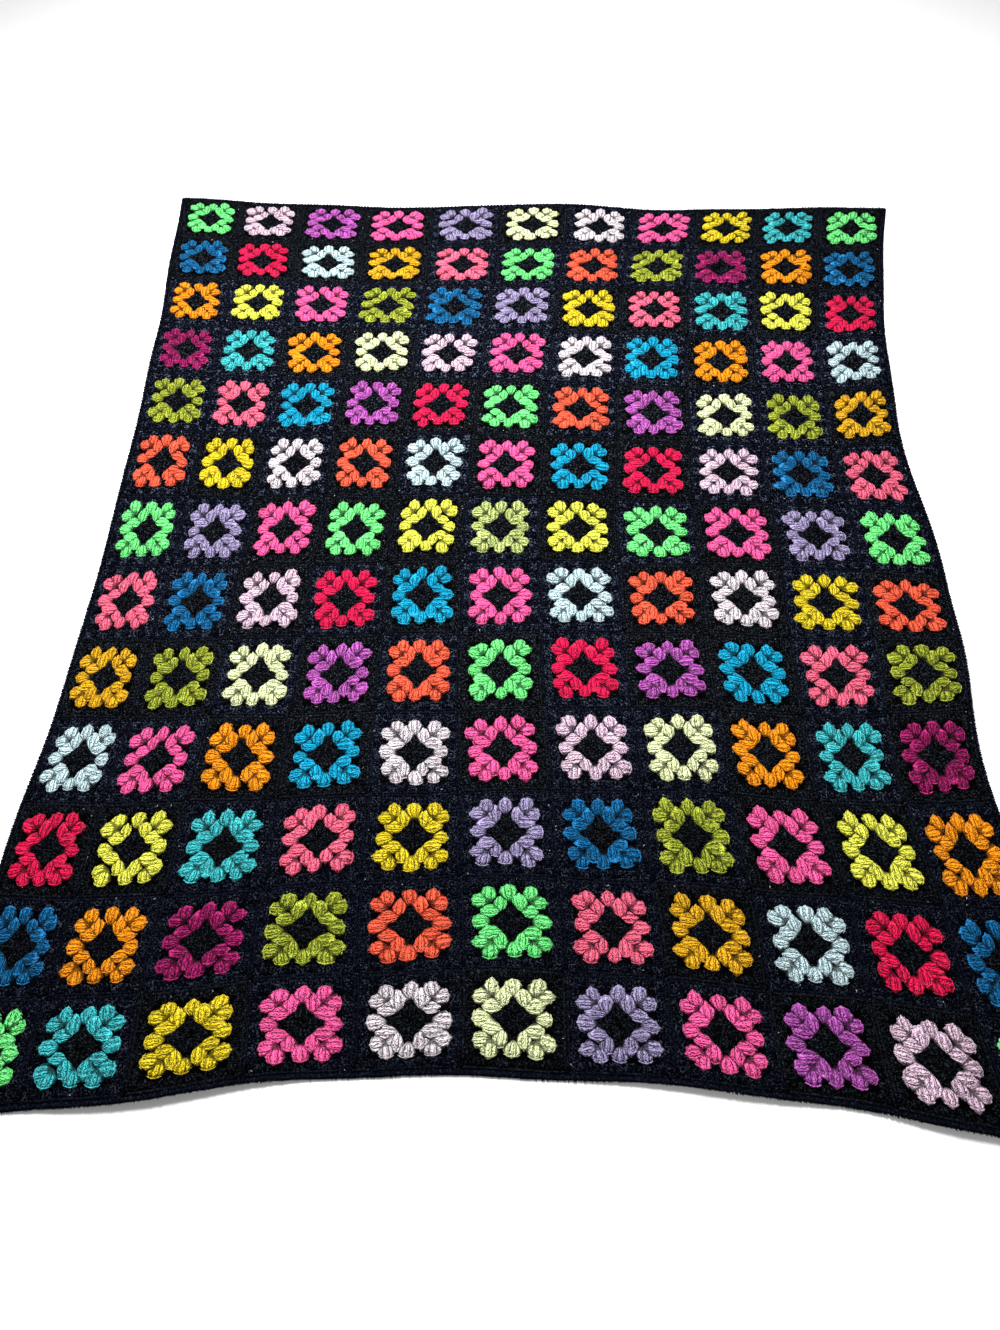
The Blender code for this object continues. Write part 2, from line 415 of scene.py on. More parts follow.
@dataclass(frozen=True)
class YarnFinish:
    """Plied acrylic yarn: plies, pale loose fibres and uneven dye, with painted shade in the
    grooves, creases, seams and feet and painted highlights on ply tops, rims and knobs.
    """

    name: str
    colour: Colour
    plies: float = 6.0
    ply_pitch: float = 0.0300
    ply_drift: float = 1.2
    lobes: int = 0
    chevron: bool = False
    foot: float = 0.0048
    head: float = 0.0150
    groove_shade: float = 0.05
    crease_shade: float = 0.30
    crease_low: float = 0.10
    crease_high: float = 1.00
    side_band: float = 0.20
    foot_shade: float = 0.20
    seam_shade: float = 0.22
    fuzz_tint: float = 0.40
    rim_tint: float = 0.85
    knob_tint: float = 0.0
    roughness: float = 0.85
    specular: float = 0.10
    sheen: float = 0.04
    relief: float = 0.0010

    def build(self) -> Material:
        """Make the material from the piece's UV map, attributes and Object coordinates."""
        graph = ShaderGraph(self.name)
        graph.material.diffuse_color = self.colour
        around, along = graph.split(graph.map)
        ridge = self.ply_ridges(graph, around, along)
        fibres = graph.noise(scale=1500.0, detail=2.0)
        tufts = graph.noise(scale=560.0, detail=2.0)
        dye = graph.noise(scale=9.0, detail=1.0)
        rim = graph.attribute("rim")

        loose = graph.math("ADD", ridge, graph.gain(tufts, 2.6, -1.15))
        # Painted shade in the grooves between the plies.
        colour = graph.mix(graph.ramp(loose, low=0.25, high=0.50),
                           self.shaded(self.groove_shade), self.colour)
        height = graph.gain(tufts, 0.90, graph.gain(fibres, 0.45, ridge))
        # Pale fibres and painted highlight on the tops of the plies.
        top_fibres_and_highlight = graph.ramp(height, low=1.25, high=1.80)
        colour = graph.mix(top_fibres_and_highlight, colour, self.tinted(self.fuzz_tint))
        # Painted shade in the creases between strands or lobes and along a shell's sides; rims get
        # none.
        crease = graph.ramp(graph.gain(tufts, 0.5, self.crests(graph, around)),
                            low=self.crease_low, high=self.crease_high)
        crease = graph.math("MULTIPLY", crease, self.from_sides(graph, around, along))
        crease = graph.math("MAXIMUM", crease, rim)
        colour = graph.keep(crease, colour, self.crease_shade)
        # Painted shade along the seam where a cluster meets the one worked beside it, and over a
        # sunk foot.
        seam = graph.ramp(graph.gain(tufts, 0.16, graph.attribute("seam")), low=1.010, high=1.080)
        colour = graph.mix(seam, colour, graph.brighten(colour, self.seam_shade))
        # Painted shade over the foot of each strand or shell, where it lies low; rims get none.
        risen = graph.math("MAXIMUM", rim, graph.ramp(along, low=0.0, high=self.foot))
        colour = graph.keep(risen, colour, self.foot_shade)
        # Painted highlight on the looped rims and towards the heads.
        lip = graph.math("MAXIMUM", rim, graph.ramp(along, low=self.head, high=self.head * 1.25))
        lip = graph.math("MULTIPLY", lip, graph.ramp(tufts, low=0.30, high=0.62))
        colour = graph.mix(lip, colour, self.tinted(self.rim_tint))
        if self.knob_tint > 0:
            # Painted highlights on the small knobs, scaled by the painted light along the blanket.
            knobs = graph.ramp(graph.grain(near=480.0, far=340.0, detail=1.0), low=0.55, high=0.72)
            knobs = graph.math("MULTIPLY", knobs, graph.wash())
            colour = graph.mix(knobs, colour, self.tinted(self.knob_tint))
        uneven = graph.math("ADD", graph.attribute("tone"), dye)
        colour = graph.brighten(colour, graph.gain(uneven, 0.22, 0.78))
        return graph.dress({
            "Base Color": colour, "Roughness": graph.gain(tufts, 0.16, self.roughness - 0.08),
            "Specular IOR Level": self.specular, "Sheen Weight": self.sheen,
            "Sheen Roughness": 0.45, "Sheen Tint": self.tinted(self.fuzz_tint),
        }, height, self.relief, strength=0.9)

    def shaded(self, share: float) -> Colour:
        """The yarn's colour, darkened to a share of itself."""
        return (*(channel * share for channel in self.colour[:3]), 1.0)

    def tinted(self, share: float) -> Colour:
        """The yarn's colour, lightened by a share of the way to its palest tint."""
        brightest = max(self.colour[:3])
        return (*(channel + (0.96 * channel / brightest + 0.04 - channel) * share
                  for channel in self.colour[:3]), 1.0)

    def ply_ridges(self, graph: ShaderGraph, around: Socket, along: Socket) -> Socket:
        """Height from 0 to 1 of the plies that slant round the strand."""
        if self.chevron:
            around = graph.math("PINGPONG", around, 0.5)
        drift = graph.gain(graph.noise(scale=300.0, detail=1.0), self.ply_drift,
                           graph.math("MULTIPLY", around, self.plies))
        phase = graph.gain(along, 1.0 / self.ply_pitch, drift)
        wave = graph.math("SINE", graph.math("MULTIPLY", phase, math.pi))
        return graph.math("ABSOLUTE", wave)

    def from_sides(self, graph: ShaderGraph, around: Socket, along: Socket) -> Value:
        """Value that rises from 0 at a shell's sides to 1, sooner towards its head; where it is
        low, the sides get painted shade.
        """
        if self.lobes == 0:
            return 1.0
        inward = graph.ramp(graph.math("PINGPONG", around, 0.5), low=0.50 * self.side_band,
                            high=self.side_band)
        return graph.math("MAXIMUM", inward,
                          graph.ramp(along, low=0.7 * self.head, high=1.1 * self.head))

    def crests(self, graph: ShaderGraph, around: Socket) -> Socket:
        """Value from -1 in the creases to 1 on the crests of strands or of a shell's lobes."""
        if self.lobes == 0:
            return graph.math("COSINE", graph.math("MULTIPLY", around, 2 * math.pi))
        turn = graph.gain(around, self.lobes * math.pi, -self.lobes * math.pi / 2)
        return graph.gain(graph.math("ABSOLUTE", graph.math("COSINE", turn)), 2.0, -1.0)


def coloured_finish(yarn: Yarn) -> Material:
    """A coloured yarn's material, with slanting plies and dark painted shade in the creases between
    the posts.
    """
    return YarnFinish(f"{yarn.piece_name}_yarn", linear(*yarn.value), plies=6.4,
                      ply_pitch=0.120, ply_drift=2.0, lobes=3, crease_low=-1.0,
                      crease_high=0.6, crease_shade=0.10, fuzz_tint=0.25, foot=0.0042,
                      foot_shade=0.14, seam_shade=0.26, groove_shade=0.13, relief=0.0024).build()


def dark_finish(yarn: Yarn, name: str, **changes: float) -> Material:
    """A dark yarn's material, dull but for painted highlights where the small knobs catch the
    light.
    """
    dull = {"fuzz_tint": 0.006, "rim_tint": 0.006, "knob_tint": 0.076, "specular": 0.004,
            "sheen": 0.0, "roughness": 0.50, "foot": 0.0030}
    return YarnFinish(name, linear(*yarn.value), **{**dull, **changes}).build()


@dataclass(frozen=True)
class GroundFinish:
    """Dark crochet ground: knobbly loops in painted highlights over painted shade, from noise at
    two sizes.
    """

    name: str
    deep_navy: tuple[int, int, int] = (1, 1, 3)
    deep_black: tuple[int, int, int] = (1, 1, 1)
    lit_navy: tuple[int, int, int] = (73, 82, 100)
    lit_black: tuple[int, int, int] = (47, 50, 58)
    roughness: float = 0.50
    specular: float = 0.004
    relief: float = 0.0022

    def build(self) -> Material:
        """Make the ground's material, black or navy by the faces' own attribute."""
        graph = ShaderGraph(self.name)
        black = graph.attribute("black")
        loops = graph.grain(near=420.0, far=310.0, detail=1.0)
        height = graph.gain(graph.grain(near=900.0, far=600.0, detail=2.0), 0.8, loops)
        # Painted highlights on the knobbly loops over painted shade, by noise height.
        shade = graph.ramp(height, low=0.90, high=1.12)
        # Painted shade in the pits between the coloured clusters, times the painted light along the
        # blanket.
        pit_shade = graph.gain(graph.attribute("pit"), -0.85, 1.0)
        shade = graph.math("MULTIPLY", graph.math("MULTIPLY", shade, pit_shade), graph.wash())
        shadow_colour = graph.mix(black, linear(*self.deep_navy), linear(*self.deep_black))
        lit = graph.mix(black, linear(*self.lit_navy), linear(*self.lit_black))
        return graph.dress({
            "Base Color": graph.mix(shade, shadow_colour, lit), "Roughness": self.roughness,
            "Specular IOR Level": self.specular,
        }, height, self.relief, strength=1.0)


# ------------------------------------------------------------------ meshes of strands
def map_corners(mesh: Mesh, places: Array) -> None:
    """Give a mesh its UV map, one place for each corner of each face."""
    layer = mesh.uv_layers.new(name="UVMap")
    layer.data.foreach_set("uv", np.ravel(places).astype(np.float32))


def places_along(path: Array, first: float = 0.0) -> Array:
    """Distance in metres along a path to each of its points, counted on from the first."""
    steps = np.linalg.norm(np.diff(path, axis=0), axis=1)
    return first + np.concatenate([[0.0], np.cumsum(steps)])


class StrandMesh:
    """Gathers closed tubes and shells of yarn into one mesh with a UV map along them."""

    def __init__(self) -> None:
        """Start with nothing."""
        self.points: list[Array] = []
        self.faces: list[tuple[int, ...]] = []
        self.map_places: list[Flat] = []
        self.rims: list[float] = []

    def skin(self, rings: Array, along: Array, around: Sequence[float],
             clockwise: bool, rim: float = 0.0) -> None:
        """Add a closed skin over rings of points.

        Args:
            rings: For each ring from foot to head, its points in order.
            along: Place of each ring along the map, in metres.
            around: Place round the map of each point of a ring, then of its first again.
            clockwise: Whether the points of a ring run clockwise, seen from beyond the head.
            rim: 1 where the strand is a looped rim, which gets a painted highlight and is spared
                the painted shade of creases and feet.
        """
        count, places = rings.shape[:2]
        start = len(self.rims)
        self.points.append(rings.reshape(-1, 3))
        self.rims += [rim] * (count * places)
        for ring in range(count - 1):
            near = start + ring * places
            for side in range(places):
                one, two = (side + 1, side) if clockwise else (side, side + 1)
                corners = ((one, 0), (two, 0), (two, 1), (one, 1))
                self.faces.append(tuple(near + step * places + place % places
                                        for place, step in corners))
                self.map_places += [(around[place], along[ring + step]) for place, step in corners]
        foot = range(places) if clockwise else range(places - 1, -1, -1)
        for ring, order in ((0, foot), (count - 1, foot[::-1])):
            self.faces.append(tuple(start + ring * places + place for place in order))
            self.map_places += [(around[place], along[ring]) for place in order]

    def tube(self, path: Array, half_widths: Array, half_heights: Array,
             sides: int, rim: float = 0.0) -> None:
        """Add a closed tube round a path.

        Args:
            path: Columns x, y and z of the strand's middle line.
            half_widths: Half width of the strand at each point, level with the cloth.
            half_heights: Half height at each point, up from the cloth.
            sides: Number of flat sides.
            rim: 1 where the strand is a looped rim, which gets a painted highlight and is spared
                the painted shade of creases and feet.
        """
        run = np.gradient(path, axis=0)
        run /= np.linalg.norm(run, axis=1, keepdims=True)
        aside = np.cross(run, (0.0, 0.0, 1.0))
        aside /= np.linalg.norm(aside, axis=1, keepdims=True)
        above = np.cross(aside, run)
        angles = QUARTER_TURN + 2 * math.pi * np.arange(sides) / sides
        rings = (path[:, None, :]
                 + (half_widths[:, None] * np.cos(angles))[..., None] * aside[:, None, :]
                 + (half_heights[:, None] * np.sin(angles))[..., None] * above[:, None, :])
        self.skin(rings, places_along(path), np.arange(sides + 1) / sides, True, rim)

    def shell(self, rings: Array, first: float = 0.0) -> None:
        """Add a closed shell whose map runs from side to side and from foot to head.

        Args:
            rings: For each ring from foot to head, its points from left to right.
            first: Place of the foot along the map, in metres.
        """
        share = np.linspace(0.0, 1.0, rings.shape[1])
        self.skin(rings, places_along(rings.mean(axis=1), first), [*share, 0.0], False)

    def mesh(self, name: str, material: Material | None = None) -> Mesh:
        """Make the Blender mesh with its UV map, smooth shading and any material."""
        mesh = bpy.data.meshes.new(name)
        mesh.from_pydata(np.concatenate(self.points).tolist(), [], self.faces)
        map_corners(mesh, self.map_places)
        mark(mesh, "rim", self.rims)
        mesh.shade_smooth()
        if material:
            mesh.materials.append(material)
        return mesh


class ShellRing(NamedTuple):
    """One line across a cluster's shell, in shares of the cluster's length.

    out is how far the ring's middle lies from the foot, sag how far its ends hang back,
    half_width its reach to each side and top its height over the foot, in metres.
    """

    out: float
    sag: float
    half_width: float
    top: float


@dataclass(frozen=True)
class Seam:
    """Line along which a cluster meets the other one worked into the same corner.

    side is 1 when the other cluster stands to the right and -1 to the left.  The line
    lies aside by slope times the distance from the foot, plus gap in metres.  sunk is the
    length of foot that lies down among the heads of the round before.  The yarn gets
    painted shade near the line and over the sunk foot.
    """

    side: int
    slope: float
    gap: float
    sunk: float = 0.0
    reach: float = 0.02

    def nearness(self, points: Array) -> Array:
        """Value of each point: 1 on the seam, 0 at the reach from it, over 1 beyond it."""
        inside = points[:, 1] * self.slope + self.gap - self.side * points[:, 0]
        inside = inside / math.hypot(1.0, self.slope)
        if self.sunk:
            inside = np.minimum(inside, points[:, 1] - self.sunk)
        return 1.0 - inside / self.reach


@dataclass(frozen=True)
class ClusterShape:
    """Trebles worked into one space: a puffy fan of posts under a looped chain."""

    rings: tuple[ShellRing, ...]
    across: tuple[float, ...]
    seam: Seam | None = None
    length: float = 0.0190
    rest: float = 0.0015
    groove: float = 0.34
    scallop: float = 0.020
    foot_slant: float = 0.0
    # Place of the foot along the map: more than 0 shortens the painted shade at the foot.
    foot_start: float = 0.0
    loop_half_width: float = 0.0014
    loop_spread: float = 1.06
    loop_out: float = 0.035
    loop_height: float = 0.80
    loop_waver: float = 0.00025
    loop_sides: int = 3
    has_loops: bool = True
    wobble: float = 0.050
    tip_lean: float = 1.8
    dome_flat: float = 2.3
    dome_round: float = 0.6

    def mesh(self, name: str, seed: int) -> Mesh:
        """Make one cluster, with its foot at the origin and its head towards +Y.

        Args:
            name: Name of the mesh.
            seed: Seed of the hand's small unevenness.

        Returns:
            The mesh of the whole cluster.
        """
        hand = np.random.default_rng(seed)
        strands = StrandMesh()
        rings = self.shell_rings(hand)
        strands.shell(rings, self.foot_start)
        if self.has_loops:
            self.add_loops(strands, rings, hand)
        mesh = strands.mesh(name)
        if self.seam:
            mark(mesh, "seam", self.seam.nearness(np.concatenate(strands.points)))
        return mesh

    def shell_rings(self, hand: Hand) -> Array:
        """Points of the shell: rings from foot to head, each across from left to right."""
        places = np.array(self.across)
        lobes = np.abs(np.cos(1.5 * math.pi * places))
        dome = np.maximum(1.0 - np.abs(places) ** self.dome_flat, 0.0) ** self.dome_round
        lean, tip = hand.uniform(-1.0, 1.0, 2) * self.wobble
        rings = []
        for ring in self.rings:
            wide, far, high = 1.0 + hand.uniform(-2.0, 2.0, 3) * self.wobble
            x = (places * ring.half_width * wide + lean * ring.out
                 + self.tip_lean * tip * ring.out ** 3)
            y = (ring.out * far - ring.sag * places ** 2 + self.scallop * ring.out * lobes
                 + self.foot_slant * places * (1.0 - ring.out))
            rise = (ring.top * high - self.rest) * dome
            z = self.rest + rise * (1.0 - self.groove * (1.0 - lobes))
            rings.append(np.stack([x * self.length, y * self.length, z], axis=1))
        return np.array(rings)

    def add_loops(self, strands: StrandMesh, rings: Array, hand: Hand) -> None:
        """Add the chain that lies over the heads like a lip, along the last wide ring."""
        path = rings[-2][1:-1] * (self.loop_spread, 1.0, 1.0)
        path[:, 1] += self.loop_out * self.length
        path[:, 2] *= self.loop_height
        path += hand.normal(0.0, self.loop_waver, path.shape)
        share = np.linspace(-1.0, 1.0, len(path))
        girth = self.loop_half_width * (1.0 - 0.4 * share ** 4)
        girth = girth * hand.uniform(0.8, 1.2, len(path))
        strands.tube(path, girth, girth, self.loop_sides, rim=1.0)


def ring_table(*rows: tuple[float, ...]) -> tuple[ShellRing, ...]:
    """Rings of a shell from rows of their out, sag, half width and top."""
    return tuple(ShellRing(*row) for row in rows)


LOBED = (-1.0, -0.80, -0.56, -0.333, -0.13, 0.13, 0.333, 0.56, 0.80, 1.0)
PLAIN = (-1.0, -0.65, -0.333, 0.0, 0.333, 0.65, 1.0)
POINTED = ring_table(
    # out, sag, half width, top
    (0.00, 0.00, 0.100, 0.0026),
    (0.16, 0.01, 0.270, 0.0052),
    (0.38, 0.03, 0.465, 0.0071),
    (0.64, 0.09, 0.530, 0.0075),
    (0.85, 0.19, 0.440, 0.0064),
    (0.97, 0.20, 0.225, 0.0044),
)
WIDE_FOOT = ring_table(
    # out, sag, half width, top
    (0.00, 0.02, 0.225, 0.0030),
    (0.15, 0.02, 0.390, 0.0054),
    (0.37, 0.04, 0.480, 0.0070),
    (0.62, 0.09, 0.510, 0.0074),
    (0.83, 0.17, 0.430, 0.0062),
    (0.96, 0.18, 0.230, 0.0044),
)
FLAT = ring_table(
    # out, sag, half width, top
    (0.00, 0.00, 0.22, 0.0030),
    (0.45, 0.05, 0.50, 0.0050),
    (1.00, 0.08, 0.46, 0.0032),
)


def paired(side: int) -> ClusterShape:
    """One cluster of a pair; side is 1 when the other one stands to the right."""
    return ClusterShape(WIDE_FOOT, LOBED, Seam(side, 1.14, -0.0008),
                        foot_slant=-0.18 * side, foot_start=0.0024)


def cornered(side: int) -> ClusterShape:
    """One cluster of a corner; side is 1 when the other one stands to the right."""
    return ClusterShape(POINTED, LOBED, Seam(side, 0.96, -0.0022, sunk=0.0046))


class Cluster(Enum):
    """Kinds of cluster: how the posts stand in their space."""

    LEFT_OF_PAIR = paired(-1)
    RIGHT_OF_PAIR = paired(1)
    BETWEEN = ClusterShape(POINTED, LOBED)
    LEFT_CORNER = cornered(-1)
    RIGHT_CORNER = cornered(1)
    CENTRE = ClusterShape(POINTED, PLAIN, has_loops=False)
    BORDER = ClusterShape(FLAT, PLAIN, has_loops=False)


# ------------------------------------------------------------------ Geometry Nodes
class NodesTree(Graph):
    """A Geometry Nodes tree under construction, with named inputs."""

    def __init__(self, name: str, inputs: dict[str, str]) -> None:
        """Make the tree with its geometry input and output and its own inputs by kind."""
        super().__init__(bpy.data.node_groups.new(name, "GeometryNodeTree"))
        sockets = self.tree.interface
        for direction in ("INPUT", "OUTPUT"):
            sockets.new_socket("Geometry", in_out=direction, socket_type="NodeSocketGeometry")
        for label, kind in inputs.items():
            sockets.new_socket(label, in_out="INPUT", socket_type=f"NodeSocket{kind}")
        self.entry = self.node("NodeGroupInput").outputs

    def named(self, name: str, kind: str) -> Socket:
        """A named attribute of the points."""
        return self.node("GeometryNodeInputNamedAttribute", {"Name": name},
                         data_type=kind).outputs["Attribute"]

    def random(self, offset: int, jitter: Socket | None = None) -> Socket:
        """Random float from the tree's own Seed input.

        Args:
            offset: Added to the seed, so that each use draws its own values.
            jitter: The value runs from minus to plus this, or from 0 to 1 without it.

        Returns:
            The random value of each point.
        """
        limits = {2: self.math("MULTIPLY", jitter, -1.0), 3: jitter} if jitter else {}
        seed = self.math("ADD", self.entry["Seed"], float(offset))
        return self.node("FunctionNodeRandomValue", {**limits, "Seed": seed},
                         data_type="FLOAT").outputs[1]

    def finish(self, instances: Socket) -> None:
        """End the tree in Realize Instances, smooth shading and Set Material."""
        real = self.node("GeometryNodeRealizeInstances", {"Geometry": instances}).outputs[0]
        smooth = self.node("GeometryNodeSetShadeSmooth", {"Geometry": real}).outputs[0]
        painted = self.node("GeometryNodeSetMaterial", {
            "Geometry": smooth, "Material": self.entry["Material"]}).outputs[0]
        self.node("NodeGroupOutput", {"Geometry": painted})


class Jitter(NamedTuple):
    """Most that a worked shape turns and tilts, in radians, and grows, as a share."""

    turn: float
    tilt: float
    size: float


class WorkedPoints:
    """Geometry Nodes tree that works a shape at every point.

    Each point brings a "turn" about the upright axis, a "span", its scale, and a "kind".
    The shapes come as a collection with the same number of uneven versions of each kind,
    in the order of their names.
    """

    VERSIONS = 5
    TILT_ACROSS, TILT_ALONG, TURN, SIZE, TONE = range(11, 16)

    def __init__(self, settler: "Settler") -> None:
        """Build the tree and keep the settler that takes the finished meshes."""
        tree = NodesTree("Worked points", {
            "Shapes": "Collection", "Turn Jitter": "Float", "Tilt Jitter": "Float",
            "Size Jitter": "Float", "Seed": "Int", "Material": "Material"})
        tree.finish(self.instances(tree))
        self.tree = tree.tree
        self.settler = settler

    def instances(self, tree: NodesTree) -> Socket:
        """Place the shapes on the points, each a little turned, tilted and sized."""
        entry = tree.entry
        shapes = tree.node("GeometryNodeCollectionInfo", {
            "Collection": entry["Shapes"], "Separate Children": True})
        version = tree.node("FunctionNodeRandomValue", {
            4: 0, 5: self.VERSIONS - 1, "Seed": entry["Seed"]}, data_type="INT").outputs[2]
        turn = tree.math("ADD", tree.named("turn", "FLOAT"),
                         tree.random(self.TURN, entry["Turn Jitter"]))
        rotation = tree.node("ShaderNodeCombineXYZ", {
            "X": tree.random(self.TILT_ACROSS, entry["Tilt Jitter"]),
            "Y": tree.random(self.TILT_ALONG, entry["Tilt Jitter"]), "Z": turn})
        grown = tree.math("ADD", tree.random(self.SIZE, entry["Size Jitter"]), 1.0)
        sized = tree.node("ShaderNodeVectorMath", {
            0: tree.named("span", "FLOAT_VECTOR"), "Scale": grown}, operation="SCALE")
        place = tree.node("GeometryNodeInstanceOnPoints", {
            "Points": entry["Geometry"], "Instance": shapes.outputs[0], "Pick Instance": True,
            "Instance Index": tree.gain(tree.named("kind", "INT"), float(self.VERSIONS), version),
            "Rotation": rotation.outputs["Vector"], "Scale": sized.outputs["Vector"]})
        return tree.node("GeometryNodeStoreNamedAttribute", {
            "Geometry": place.outputs["Instances"], "Name": "tone", "Value": tree.random(self.TONE),
        }, data_type="FLOAT", domain="INSTANCE").outputs["Geometry"]

    def work(self, name: str, points: "PointSet", shapes: "ShapeBox",
             material: Material, jitter: Jitter, seed: int, slot: str = "square_yarn") -> None:
        """Run the tree on a set of points and settle the result as a piece.

        Args:
            name: Name of the piece.
            points: Where the shapes go.
            shapes: The shapes to choose from.
            material: The yarn.
            jitter: The hand's unevenness.
            seed: Seed of this unevenness.
            slot: The record's material slot.
        """
        carrier = points.carrier(name)
        modifier = carrier.modifiers.new("work", "NODES")
        modifier.node_group = self.tree
        values = {"Shapes": shapes.collection, "Turn Jitter": jitter.turn,
                  "Tilt Jitter": jitter.tilt, "Size Jitter": jitter.size, "Seed": seed,
                  "Material": material}
        for item in self.tree.interface.items_tree:
            if item.name in values:
                modifier[item.identifier] = values[item.name]
        graph = bpy.context.evaluated_depsgraph_get()
        mesh = bpy.data.meshes.new_from_object(carrier.evaluated_get(graph))
        mesh.name = name
        carrier.modifiers.remove(modifier)
        bpy.data.objects.remove(carrier, do_unlink=True)
        self.settler.piece(name, mesh, slot)


class ShapeBox:
    """A collection of shapes to work from, emptied after use."""

    def __init__(self, name: str, makers: Sequence) -> None:
        """Make uneven versions of every shape, kind after kind.

        Args:
            name: Name of the collection.
            makers: One shape for each kind, with a mesh(name, seed) method.
        """
        self.collection = bpy.data.collections.new(name)
        bpy.context.scene.collection.children.link(self.collection)
        for kind, maker in enumerate(makers):
            for version in range(WorkedPoints.VERSIONS):
                mesh = maker.mesh(f"{name}_{kind:02d}_{version}", 40 + 10 * kind + version)
                self.collection.objects.link(bpy.data.objects.new(mesh.name, mesh))

    def empty(self) -> None:
        """Remove the shapes and their collection."""
        for shape in list(self.collection.objects):
            bpy.data.objects.remove(shape, do_unlink=True)
        bpy.data.collections.remove(self.collection)


class PointSet:
    """Points of a worked pattern on the even grid, each with a turn, a span and a kind."""

    def __init__(self) -> None:
        """Start with no points."""
        self.points: list[tuple[Place, float, Place, int]] = []

    def add(self, place: Sequence[float], turn: float, span: Place, kind: int = 0) -> None:
        """Add one point, with its turn about +Z and its scale along its own axes."""
        self.points.append((tuple(place), turn, span, kind))

    def carrier(self, name: str) -> bpy.types.Object:
        """Make an object whose points carry the turn, span and kind attributes."""
        places, turns, spans, kinds = zip(*self.points)
        mesh = bpy.data.meshes.new(name)
        mesh.from_pydata(places, [], [])
        mark(mesh, "turn", turns)
        mark(mesh, "span", spans, "FLOAT_VECTOR")
        mark(mesh, "kind", kinds, "INT")
        return placed(name, mesh)


# ------------------------------------------------------------------ the squares
class Round(Enum):
    """Rounds of a granny square, from the middle out."""

    CENTRE = 1
    FIRST_COLOUR = 2
    SECOND_COLOUR = 3
    BORDER = 4


@dataclass(frozen=True)
class Worked:
    """One cluster of a square's side, in shares of the square: where it starts and points.

    beside is the distance to the right of the side's middle line and out the distance
    from the square's centre.  lean is in degrees, away from the middle line.  kinds are
    the kind on the right of that line and the kind on its left.
    """

    round: Round
    beside: float
    out: float
    lean: float
    length: float
    width: float
    height: float
    kinds: tuple[Cluster, Cluster]


SIDE_PATTERN = (
    Worked(Round.CENTRE, beside=0.0, out=0.026, lean=0, length=0.140, width=0.90,
           height=0.72, kinds=(Cluster.CENTRE, Cluster.CENTRE)),
    Worked(Round.FIRST_COLOUR, beside=0.108, out=0.098, lean=1, length=0.213, width=1.08,
           height=0.84, kinds=(Cluster.RIGHT_OF_PAIR, Cluster.LEFT_OF_PAIR)),
    Worked(Round.SECOND_COLOUR, beside=0.0, out=0.208, lean=0, length=0.186, width=1.14,
           height=1.10, kinds=(Cluster.BETWEEN, Cluster.BETWEEN)),
    Worked(Round.SECOND_COLOUR, beside=0.216, out=0.194, lean=3, length=0.207, width=1.16,
           height=1.05, kinds=(Cluster.RIGHT_CORNER, Cluster.LEFT_CORNER)),
    Worked(Round.BORDER, beside=0.108, out=0.365, lean=0, length=0.125, width=0.95,
           height=0.80, kinds=(Cluster.BORDER, Cluster.BORDER)),
    Worked(Round.BORDER, beside=0.325, out=0.365, lean=5, length=0.125, width=0.95,
           height=0.80, kinds=(Cluster.BORDER, Cluster.BORDER)),
)

# The yarn of every square in rows 1 to 7.  The last six rows repeat the first six, turned
# half round.
CHART = (
    "GREEN PALE_PINK ORCHID HOT_PINK LAVENDER PALE_YELLOW WHITE_PINK HOT_PINK GOLD TEAL GREEN",
    "BLUE RED PALE_AQUA AMBER CORAL GREEN ORANGE_RED OLIVE PLUM ORANGE BLUE",
    "ORANGE YELLOW HOT_PINK OLIVE BLUE LAVENDER GOLD CORAL TEAL YELLOW RED",
    "PLUM TEAL ORANGE PALE_YELLOW PALE_PINK HOT_PINK WHITE_PINK SKY ORANGE HOT_PINK PALE_AQUA",
    "OLIVE CORAL SKY ORCHID RED GREEN ORANGE_RED ORCHID PALE_YELLOW OLIVE AMBER",
    "ORANGE_RED GOLD WHITE_PINK ORANGE_RED PALE_AQUA HOT_PINK SKY RED PALE_PINK BLUE CORAL",
    "GREEN LAVENDER HOT_PINK GREEN YELLOW LIGHT_OLIVE YELLOW GREEN HOT_PINK LAVENDER GREEN",
)

# The squares of each row whose last round is worked in black instead of navy.
BLACK_BORDERED = (
    (1, 2, 3, 4, 6, 9, 10, 11), (1, 2, 3, 4, 10, 11), (7, 8, 10), (3, 4, 9),
    (4, 5, 6, 8, 11), (2, 4, 6, 7, 8), (3, 4, 5, 7, 9), (3, 5, 8, 9, 11),
    (1, 2, 4, 6, 8, 9, 11), (3, 4, 6, 9, 11), (1, 2, 9, 10), (8,), (3, 6, 9, 10),
)


def border_yarn(row: int, column: int) -> Yarn:
    """The dark yarn of a square's last round, with rows and columns counted from 0."""
    return Yarn.BLACK if column + 1 in BLACK_BORDERED[row] else Yarn.NAVY


